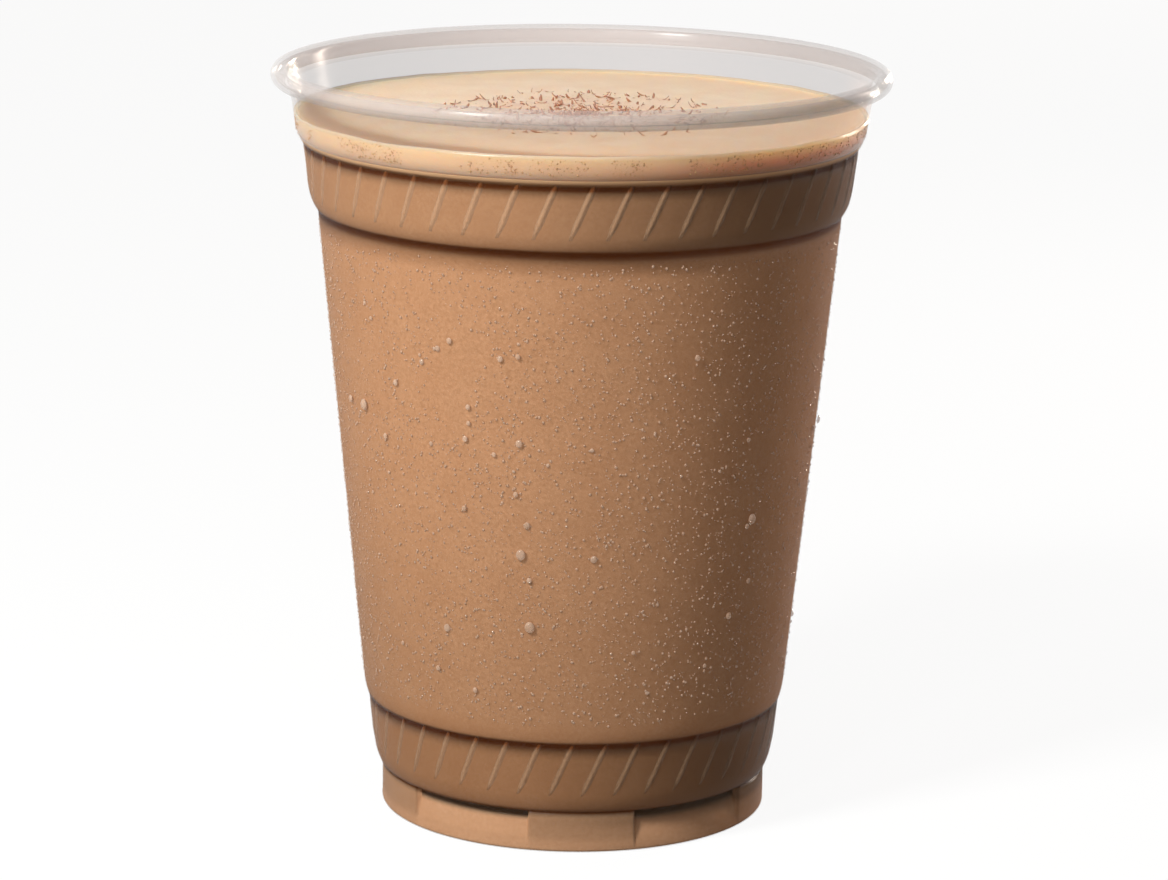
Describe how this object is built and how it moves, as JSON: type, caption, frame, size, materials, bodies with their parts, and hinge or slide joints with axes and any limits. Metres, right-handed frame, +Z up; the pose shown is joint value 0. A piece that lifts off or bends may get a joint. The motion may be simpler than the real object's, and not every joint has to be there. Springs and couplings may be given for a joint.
{
  "type": "chocolate smoothie in a disposable plastic cup",
  "caption": "Chocolate smoothie with a froth top in a translucent tapered plastic cup with a rolled rim, slant-ribbed bands and a lugged stacking foot.",
  "frame": {"origin": "centre of the ring that the cup stands on", "axes": "+Z up along the cup's axis, -Y towards the front, +X to the right seen from the front"},
  "size_m": [0.095, 0.095, 0.1164],
  "materials": {
    "cup_plastic": "translucent milky polypropylene, softly glossy, misted with fine condensation",
    "smoothie": "opaque milk-chocolate drink, smooth and wet",
    "froth": "pale chocolate froth with fine bubbles"
  },
  "bodies": {
    "root": {"cup": "cup_plastic", "smoothie": "smoothie", "froth": "froth"}
  },
  "joints": []
}
